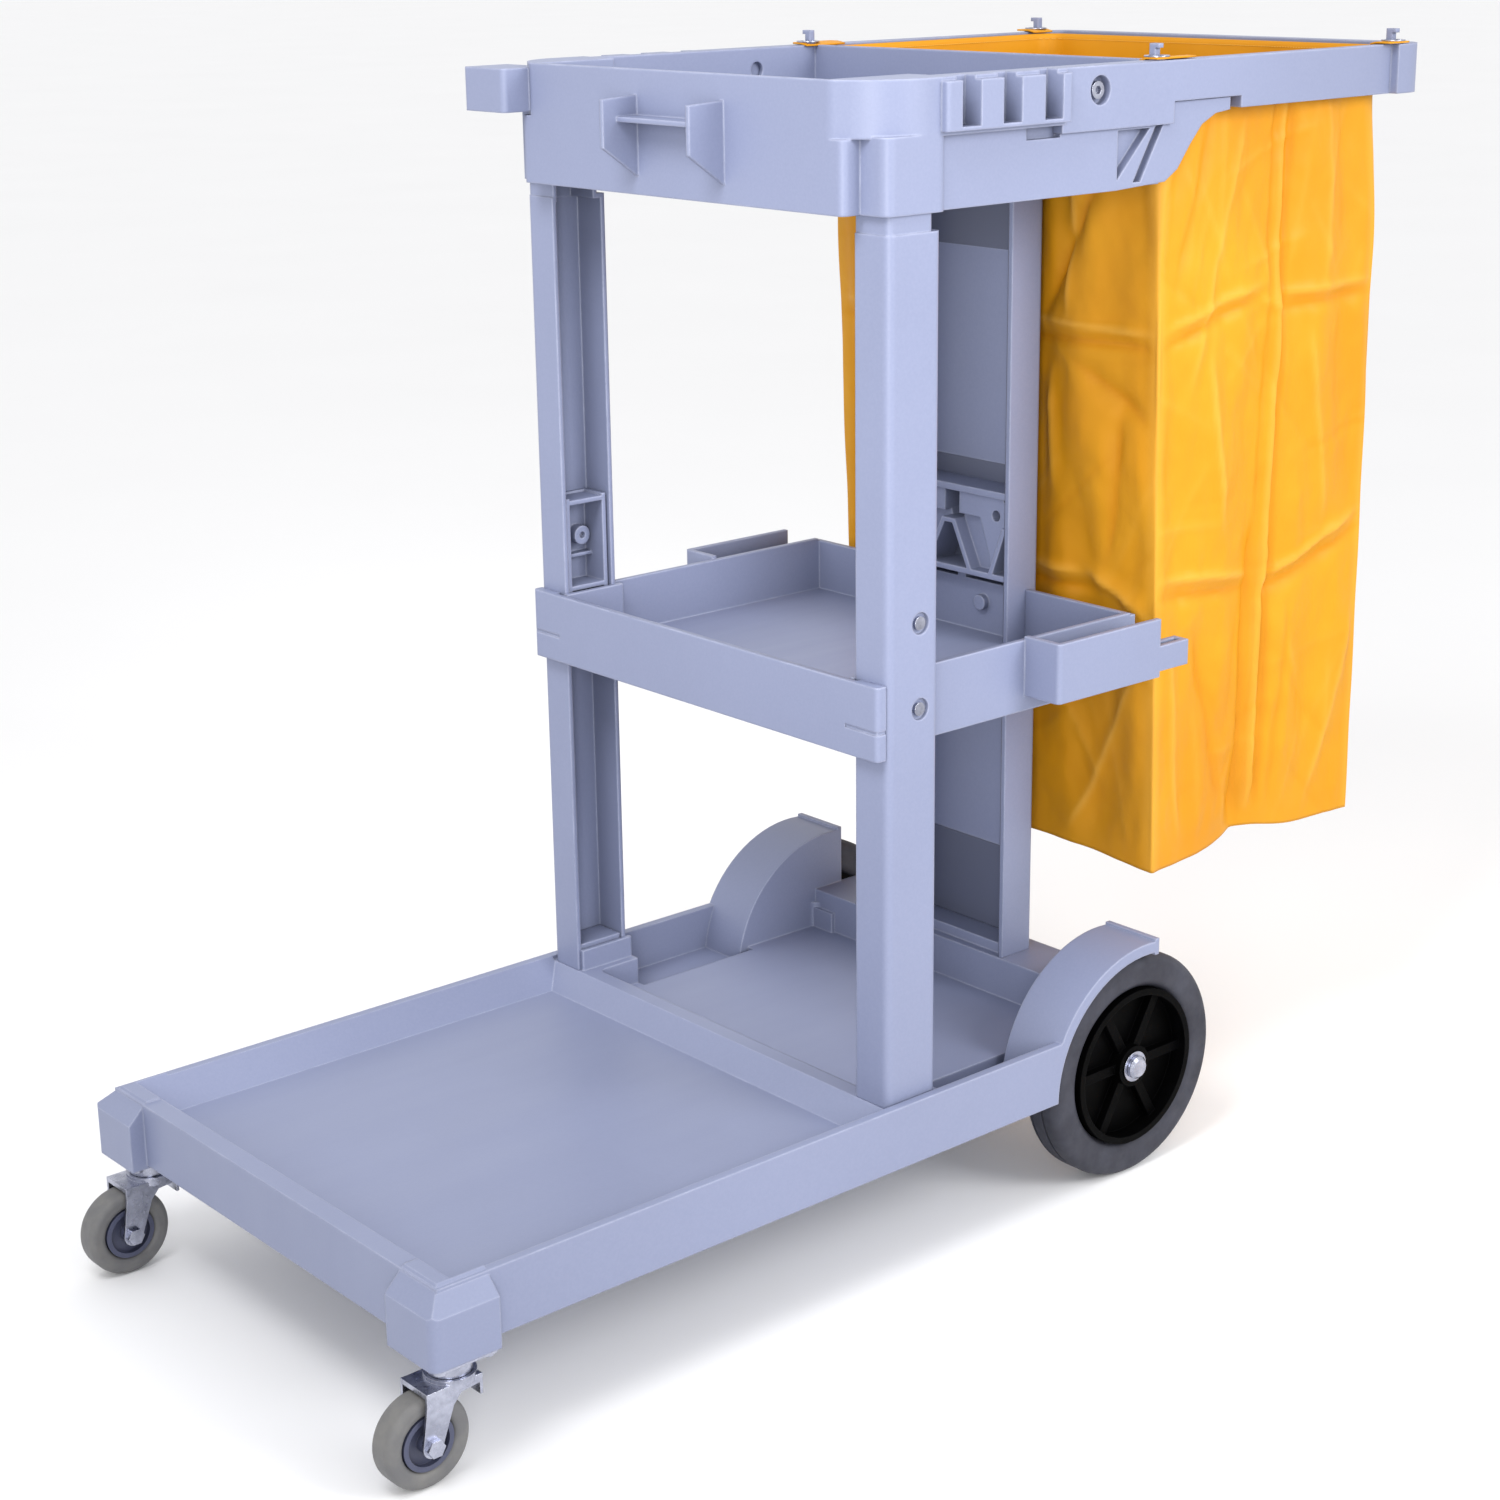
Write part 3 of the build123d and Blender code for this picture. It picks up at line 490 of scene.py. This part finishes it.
def crease_height(side, s, t):
    """How far the creases push the cloth out at place s, height share t, and how folded it is."""
    out = fold = 0.0
    px, pz = s * SIDE_HALF[side], t * BAG_DEEP
    for ax, az, bx, bz, depth, width in SIDE_CREASES[side]:
        dx, dz = bx - ax, bz - az
        length = hypot(dx, dz)
        along = ((px - ax) * dx + (pz - az) * dz) / length
        if not -0.02 < along < length + 0.02:
            continue
        across = ((px - ax) * dz - (pz - az) * dx) / length
        if abs(across) > 0.012 + 4 * width:
            continue
        across += 0.0016 * sin(31.0 * along + az * 90.0)
        ends = smoothstep(-0.02, 0.03, along) * smoothstep(-0.02, 0.03, length - along)
        q = abs(across) / width
        out += depth * ends * exp(-q * (0.7 + 0.5 * q))
        line = exp(-(across / 0.0034) ** 2) * ends
        # Ridges give a positive fold and valleys a negative one; the cloth's colour turns these into
        # painted highlight and painted shade.
        fold += (0.9 if depth > 0 else -0.8) * line * min(1.0, abs(depth) / 0.004)
    return out, fold


def cloth_out(side, s, t):
    """Outward push of the cloth and how folded it is, held by the hem and the bottom."""
    seed = SIDE_SEED[side]
    hold = smoothstep(0.0, 0.10, 1.0 - t) * smoothstep(-0.03, 0.06, t)
    edge = smoothstep(0.0, 0.10, 1.0 - abs(s))
    long_fold = noise.noise(Vector((s * 2.6 + seed, t * 1.1, seed)))
    soft = noise.noise(Vector((s * 4.5 + seed, t * 5.0, seed * 0.7)))
    crush = noise.turbulence(Vector((s * 5.0 + seed, t * 12.0, seed)), 3, False)
    slack = 1.0 if side in ("near", "far") else 1.7
    out = slack * (0.0085 * long_fold + 0.0050 * soft) + 0.0022 * (crush - 0.5)
    belly = 0.0045 * sin(pi * t) * (1 - s * s)
    if side in ("near", "far"):
        pleat = 0.020 * (1.0 - t) ** 1.6 * exp(-abs(s + 0.06) / 0.40)
        belly -= pleat
    else:
        belly -= 0.004 * (1 - t) * (1 - s * s)
    crease, fold = crease_height(side, s, t)
    return hold * edge * (out + crease) + edge ** 0.5 * belly, hold * fold


def bag_rows(bm, wall, top, bottom):
    fold_layer = bm.verts.layers.float.new("fold")
    rows = []
    for k in range(ROWS + 1):
        t = bottom + (top - bottom) * k / ROWS
        row = []
        for x, y, nx, ny, side, s in outline(t):
            z = BAG_BOTTOM + BAG_DEEP * t
            out = -wall
            if side == "corner":
                out += 0.0022 * noise.noise(Vector((s * 9.0, t * 7.0, 5.0))) * smoothstep(0, 0.1, 1 - t)
                # Painted highlight: the bag's rounded corners painted paler through fold.
                fold = 0.75 * smoothstep(0.0, 0.12, 1.0 - t)
            else:
                push, fold = cloth_out(side, s, t)
                out += push
                # Painted highlight: the ends of each side, next to the corners, painted paler.
                fold += 0.5 * smoothstep(0.93, 1.0, abs(s)) * smoothstep(0.0, 0.12, 1.0 - t)
                if side in ("near", "far"):
                    z += 0.009 * exp(-(s / 0.30) ** 2) * (1.0 - smoothstep(0.0, 0.25, t))
                else:
                    z += 0.004 * (1 - s * s) * (1.0 - smoothstep(0.0, 0.2, t))
            v = bm.verts.new((x + nx * out, y + ny * out, z))
            v[fold_layer] = max(-1.0, min(1.0, fold))
            row.append(v)
        rows.append(row)
    return rows


def waste_bag():
    bm = bmesh.new()
    rows = bag_rows(bm, 0.0004, 1.0, 0.0)
    grid_faces(bm, rows, True)
    floor = rows[0]
    centre = Vector((sum(BOTTOM_X) / 2, 0, BAG_BOTTOM + 0.004))
    inner = floor
    for k in range(1, 14):
        share = 1 - k / 14
        ring = []
        for i, v in enumerate(floor):
            p = centre.lerp(v.co, share)
            cross = abs(abs(v.co.x - centre.x) / 0.14 - abs(v.co.y) / 0.195)
            rumple = 0.003 * noise.noise(Vector((p.x * 22, p.y * 22, 1.0))) * (1 - share)
            p.z += rumple - 0.016 * share * (1 - share)
            p.z += 0.0016 * exp(-cross * 9) * (1 - share ** 4)
            ring.append(bm.verts.new(p))
        grid_faces(bm, [ring, inner], True)
        inner = ring
    hub = bm.verts.new(centre)
    for i in range(len(inner)):
        bm.faces.new((inner[(i + 1) % len(inner)], inner[i], hub))
    bmesh.ops.recalc_face_normals(bm, faces=bm.faces)
    o = piece("waste_bag_cloth", bm, BAG_CLOTH, "bag")
    thick = o.modifiers.new("cloth", "SOLIDIFY")
    thick.thickness = 0.0011
    thick.offset = -1
    return o


def hem():
    """The top edge turned over and sewn: a band standing proud of the cloth on both faces."""
    bm = bmesh.new()
    profile = [(0.0016, -0.030), (0.0022, -0.028), (0.0022, -0.004), (0.0018, -0.001), (0.0004, 0.0004),
               (-0.0014, -0.001), (-0.0020, -0.004), (-0.0020, -0.028), (-0.0014, -0.030)]
    rows = []
    for out, down in profile:
        t = 1.0 + down / BAG_DEEP
        row = []
        for x, y, nx, ny, side, s in outline(min(t, 1.0)):
            push = out - 0.0004
            if side != "corner":
                push += cloth_out(side, s, min(t, 1.0))[0]
            row.append(bm.verts.new((x + nx * push, y + ny * push, BAG_TOP + down)))
        rows.append(row)
    grid_faces(bm, rows, True)
    grid_faces(bm, [rows[-1], rows[0]], True)
    bmesh.ops.recalc_face_normals(bm, faces=bm.faces)
    return piece("waste_bag_hem", bm, BAG_CLOTH, "bag")


def stitches():
    """Two rows of stitches round the hem, inside and outside."""
    bm = bmesh.new()
    for down in (-0.0045, -0.0255):
        t = 1.0 + down / BAG_DEEP
        loop = []
        for x, y, nx, ny, side, s in outline(t):
            push = 0.0 if side == "corner" else cloth_out(side, s, t)[0]
            loop.append((Vector((x + nx * push, y + ny * push, BAG_TOP + down)), Vector((nx, ny, 0))))
        for face in (0.0022, -0.0026):
            for (a, na), (b, nb) in zip(loop, loop[1:] + loop[:1]):
                run = b - a
                if run.length < 0.002:
                    continue
                mid = (a + b) / 2 + (na + nb) / 2 * face
                along = run.normalized()
                up = Vector((0, 0, 1))
                outward = (na + nb).normalized()
                half, fat = run.length * 0.34, 0.00042
                ends = []
                for shift, size in ((-half, 0.35), (-half * 0.6, 1.0), (half * 0.6, 1.0), (half, 0.35)):
                    ring = []
                    for q in range(5):
                        turn = 2 * pi * q / 5
                        thick = (up * sin(turn) + outward * cos(turn)) * fat * size
                        ring.append(bm.verts.new(mid + along * shift + thick))
                    ends.append(ring)
                grid_faces(bm, ends, True)
                bm.faces.new(ends[0][::-1])
                bm.faces.new(ends[-1])
    bmesh.ops.recalc_face_normals(bm, faces=bm.faces)
    return piece("waste_bag_stitches", bm, THREAD, "bag")


bag = waste_bag()
bag_hem = hem()
bag_stitches = stitches()
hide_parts("waste_bag")


EYELET_R = 0.0105
TAB_HOLE = 0.0076
TAB_FRONT_END, TAB_REAR_START = 0.270, 0.522


def tab(name, eyelet, reach, side):
    """Cloth strap from the bag's top edge out over a pin, doubled, with a hole under its eyelet."""
    bm = bmesh.new()
    cx, cy = eyelet
    x0, x1 = reach
    edge_y = TOP_HALF - 0.001
    far_y = abs(cy) + EYELET_R
    count = 48

    def outer(a):
        """Where a ray from the hole leaves the strap's rounded rectangle."""
        dx, dy = cos(a), sin(a)
        tx = ((x1 if dx > 0 else x0) - cx) / dx if abs(dx) > 1e-6 else 1e9
        ty = ((far_y if dy > 0 else edge_y) - abs(cy)) / dy if abs(dy) > 1e-6 else 1e9
        return min(tx, ty) * (1 - 0.06 * abs(sin(2 * a)) ** 6)
    layers = []
    for z in (-0.0006, 0.0009):
        for part in range(7):
            row = []
            for i in range(count):
                a = 2 * pi * i / count
                r = TAB_HOLE + (outer(a) - TAB_HOLE) * part / 6
                x, y = cx + r * cos(a), abs(cy) + r * sin(a)
                drop = -0.0016 * smoothstep(0.010, 0.0, y - edge_y)
                row.append(bm.verts.new((x, side * y, TAB_Z + z + drop)))
            layers.append(row)
    low, high = layers[:7], layers[7:]
    grid_faces(bm, low, True)
    grid_faces(bm, high, True)
    grid_faces(bm, [low[0], high[0]], True)
    grid_faces(bm, [low[-1], high[-1]], True)
    bmesh.ops.recalc_face_normals(bm, faces=bm.faces)
    return piece(name, bm, BAG_CLOTH, "bag")


def tabs():
    lo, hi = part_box("bag_eyelets")
    made = []
    for side in (-1, 1):
        y = hi.y - EYELET_R
        front, rear = (lo.x + EYELET_R, y - 0.004), (hi.x - EYELET_R, y)
        label = "right" if side > 0 else "left"
        made.append(tab("waste_bag_tab_front_" + label, front, (front[0] - EYELET_R, TAB_FRONT_END), side))
        made.append(tab("waste_bag_tab_rear_" + label, rear, (TAB_REAR_START, rear[0] + EYELET_R), side))
    return made


bag_tabs = tabs()

# ---------------------------------------------------------------- floor, light, camera

TARGET = Vector((-0.0287, 0.0, 0.4023))
DISTANCE = 2.3633
AZIMUTH = radians(-40.5)
PITCH = radians(17.25)
ROLL = radians(-0.8)
LENS = 65.57


FLOOR_CELL, FLOOR_CELLS = 6.0, 12


def floor():
    bm = bmesh.new()
    span = range(-FLOOR_CELLS, FLOOR_CELLS + 1)
    rows = [[bm.verts.new((FLOOR_CELL * i, FLOOR_CELL * k, 0.0)) for i in span] for k in span]
    grid_faces(bm, rows, False)
    me = bpy.data.meshes.new("floor")
    bm.to_mesh(me)
    bm.free()
    o = bpy.data.objects.new("floor", me)
    bpy.context.scene.collection.objects.link(o)
    n = Nodes("pale_floor")
    colour = n.mix(n.noise(1.5), (0.91, 0.91, 0.92, 1), (0.94, 0.94, 0.95, 1))
    me.materials.append(n.finish(Base_Color=colour, Roughness=0.8))


def area_light(name, place, aim, size, power, spread):
    """A soft panel pointed at a spot, its beam as wide as spread degrees."""
    data = bpy.data.lights.new(name, "AREA")
    data.energy = power
    data.shape = "RECTANGLE"
    data.size, data.size_y = size
    data.spread = radians(spread)
    o = bpy.data.objects.new(name, data)
    o.location = place
    o.rotation_euler = (Vector(aim) - Vector(place)).to_track_quat("-Z", "Y").to_euler()
    bpy.context.scene.collection.objects.link(o)


def world():
    """A white tent."""
    w = bpy.data.worlds.new("white_tent")
    w.use_nodes = True
    back = w.node_tree.nodes["Background"]
    back.inputs["Color"].default_value = (1.0, 1.0, 1.0, 1)
    back.inputs["Strength"].default_value = 1.0
    bpy.context.scene.world = w


def camera():
    back = Vector((sin(AZIMUTH) * cos(PITCH), -cos(AZIMUTH) * cos(PITCH), sin(PITCH)))
    x0 = Vector((0, 0, 1)).cross(back).normalized()
    y0 = back.cross(x0)
    x = x0 * cos(ROLL) + y0 * sin(ROLL)
    y = -x0 * sin(ROLL) + y0 * cos(ROLL)
    m = Matrix((x, y, back)).transposed().to_4x4()
    m.translation = TARGET + back * DISTANCE
    data = bpy.data.cameras.new("camera")
    data.lens = LENS
    data.sensor_width = 36.0
    o = bpy.data.objects.new("camera", data)
    o.matrix_world = m
    bpy.context.scene.collection.objects.link(o)
    bpy.context.scene.camera = o


floor()
world()
area_light("key", (0.6, -1.9, 1.5), (0.05, 0.0, 0.64), (1.0, 1.0), 5.7, 70)
area_light("front", (-1.2, -0.5, 2.2), (-0.1, 0.0, 0.85), (0.8, 0.8), 4.7, 70)
area_light("fill", (-1.45, -1.5, 0.95), (0.0, 0.0, 0.70), (0.4, 1.0), 3.0, 60)
bpy.context.scene.view_settings.view_transform = "Standard"
camera()
